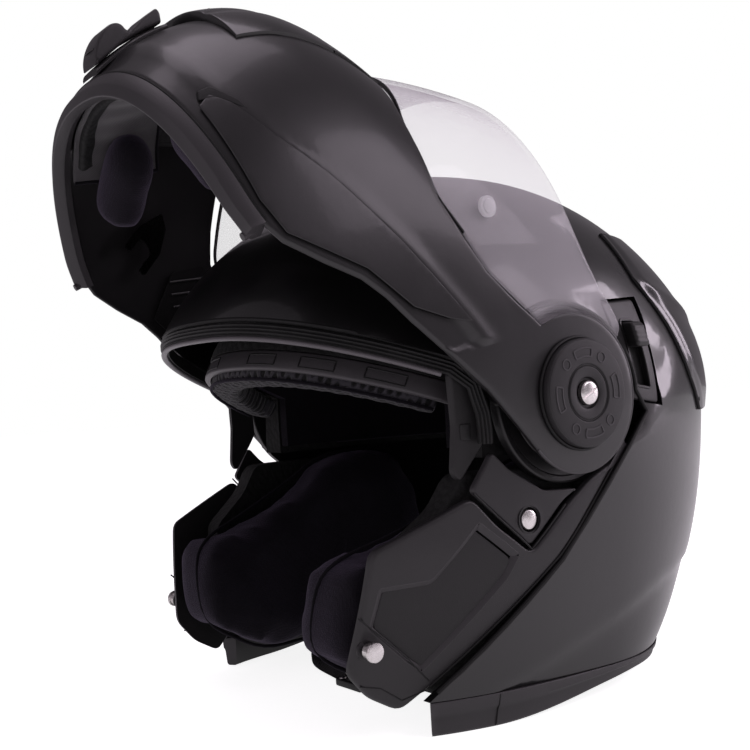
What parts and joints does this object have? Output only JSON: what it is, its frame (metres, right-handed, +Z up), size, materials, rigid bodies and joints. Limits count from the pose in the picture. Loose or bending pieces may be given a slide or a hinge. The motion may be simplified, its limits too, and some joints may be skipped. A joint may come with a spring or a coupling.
{
  "type": "motorcycle helmet",
  "caption": "Flip-up modular motorcycle helmet with its chin bar raised, a clear visor, a stowed sun visor and padded lining.",
  "frame": {"origin": "middle of the bounding box in plan, on the plane that the helmet stands on, with the chin bar raised", "axes": "+Z up, -Y the way the helmet faces, +X the wearer's left"},
  "size_m": [0.2548, 0.3512, 0.3321],
  "materials": {
    "gloss_black": "deep gloss lacquer",
    "satin_charcoal": "satin",
    "grey_plastic": "fine matt grain",
    "black_plastic": "matt",
    "gasket_rubber": "matt",
    "polystyrene": "beaded foam, matt",
    "knit_fabric": "fine knit",
    "twill_fabric": "heavy twill",
    "webbing": "woven webbing",
    "steel": "plated, satin",
    "clear_polycarbonate": "clear, polished",
    "smoked_polycarbonate": "smoked, polished"
  },
  "bodies": {
    "helmet": {"shell": "gloss_black", "base_trim": "satin_charcoal", "eye_port_gasket": "gasket_rubber", "brow_trim": "grey_plastic", "slider_frame": "satin_charcoal", "rear_spoiler": "gloss_black", "crown_liner": "polystyrene", "comfort_liner": "knit_fabric", "neck_roll": "knit_fabric", "brow_pad": "knit_fabric", "strap_l": "webbing", "strap_r": "webbing", "buckle": "black_plastic", "side_plate_l": "satin_charcoal", "side_plate_r": "satin_charcoal", "side_panel_l": "satin_charcoal", "side_panel_r": "satin_charcoal", "catch_plate_l": "satin_charcoal", "catch_plate_r": "satin_charcoal", "temple_trim_l": "grey_plastic", "temple_trim_r": "grey_plastic", "latch_pin_l": "steel", "latch_pin_r": "steel", "catch_screw_l": "steel", "catch_screw_r": "steel", "hinge_base_l": "black_plastic", "hinge_base_r": "black_plastic", "cheek_liner_l": "polystyrene", "cheek_liner_r": "polystyrene", "cheek_pad_l": "knit_fabric", "cheek_pad_r": "knit_fabric", "strap_pad_l": "knit_fabric", "strap_pad_r": "knit_fabric"},
    "chin_bar": {"chin_bar_shell": "gloss_black", "chin_edge_trim": "satin_charcoal", "chin_liner": "polystyrene", "chin_curtain": "twill_fabric", "chin_vent_cover": "gloss_black", "lever_bar": "black_plastic", "chin_side_panel_l": "satin_charcoal", "chin_side_panel_r": "satin_charcoal", "chin_inner_arm_l": "black_plastic", "chin_inner_arm_r": "black_plastic", "chin_pad_l": "knit_fabric", "chin_pad_r": "knit_fabric", "pivot_cover_l": "satin_charcoal", "pivot_cover_r": "satin_charcoal", "pivot_screw_l": "steel", "pivot_screw_r": "steel"},
    "visor": {"visor": "clear_polycarbonate", "lens_pin_l": "clear_polycarbonate", "lens_pin_r": "clear_polycarbonate"},
    "chin_vent_slider": {"chin_vent_slider": "gloss_black"},
    "release_lever": {"release_lever": "grey_plastic"},
    "latch_hook_l": {"latch_hook_l": "steel"},
    "latch_hook_r": {"latch_hook_r": "steel"},
    "sun_visor": {"sun_visor": "smoked_polycarbonate"},
    "slider_knob": {"slider_knob": "black_plastic"},
    "buckle_lever": {"buckle_lever": "steel"}
  },
  "joints": [
    {"name": "chin_bar_hinge", "type": "hinge", "parent": "helmet", "child": "chin_bar", "pos_m": [0, 0.0035, 0.143], "axis": [1, 0, 0], "range_deg": [0, 83]},
    {"name": "visor_hinge", "type": "hinge", "parent": "chin_bar", "child": "visor", "pos_m": [0, 0.0035, 0.143], "axis": [1, 0, 0], "range_deg": [-8, 0]},
    {"name": "chin_vent_slide", "type": "slide", "parent": "chin_bar", "child": "chin_vent_slider", "axis": [0, 0.9925, 0.1219], "range_m": [0, 0.004]},
    {"name": "latch_hook_l_hinge", "type": "hinge", "parent": "chin_bar", "child": "latch_hook_l", "pos_m": [0.09, -0.10963, 0.25202], "axis": [1, 0, 0], "range_deg": [0, 6], "stiffness_Nm_per_rad": 0.3, "springref_deg": -4.58},
    {"name": "latch_hook_r_hinge", "type": "hinge", "parent": "chin_bar", "child": "latch_hook_r", "pos_m": [-0.09, -0.10963, 0.25202], "axis": [1, 0, 0], "range_deg": [0, 6], "stiffness_Nm_per_rad": 0.3, "springref_deg": -4.58},
    {"name": "release_lever_hinge", "type": "hinge", "parent": "chin_bar", "child": "release_lever", "pos_m": [0, -0.13569, 0.32479], "axis": [-1, 0, 0], "range_deg": [0, 12]},
    {"name": "sun_visor_hinge", "type": "hinge", "parent": "helmet", "child": "sun_visor", "pos_m": [0, 0.0055, 0.118], "axis": [1, 0, 0], "range_deg": [0, 42]},
    {"name": "slider_knob_slide", "type": "slide", "parent": "helmet", "child": "slider_knob", "axis": [0.166, 0.108, -0.9802], "range_m": [0, 0.016]},
    {"name": "buckle_lever_hinge", "type": "hinge", "parent": "helmet", "child": "buckle_lever", "pos_m": [-0.003, -0.0415, 0.007], "axis": [0, 1, 0], "range_deg": [-45, 0], "stiffness_Nm_per_rad": 0.03, "springref_deg": 5.73}
  ],
  "couplings": [
    {"joint": "latch_hook_r_hinge", "follows": "latch_hook_l_hinge", "ratio": 1},
    {"joint": "release_lever_hinge", "follows": "latch_hook_l_hinge", "ratio": 2},
    {"joint": "slider_knob_slide", "follows": "sun_visor_hinge", "m_per_rad": 0.0218}
  ]
}
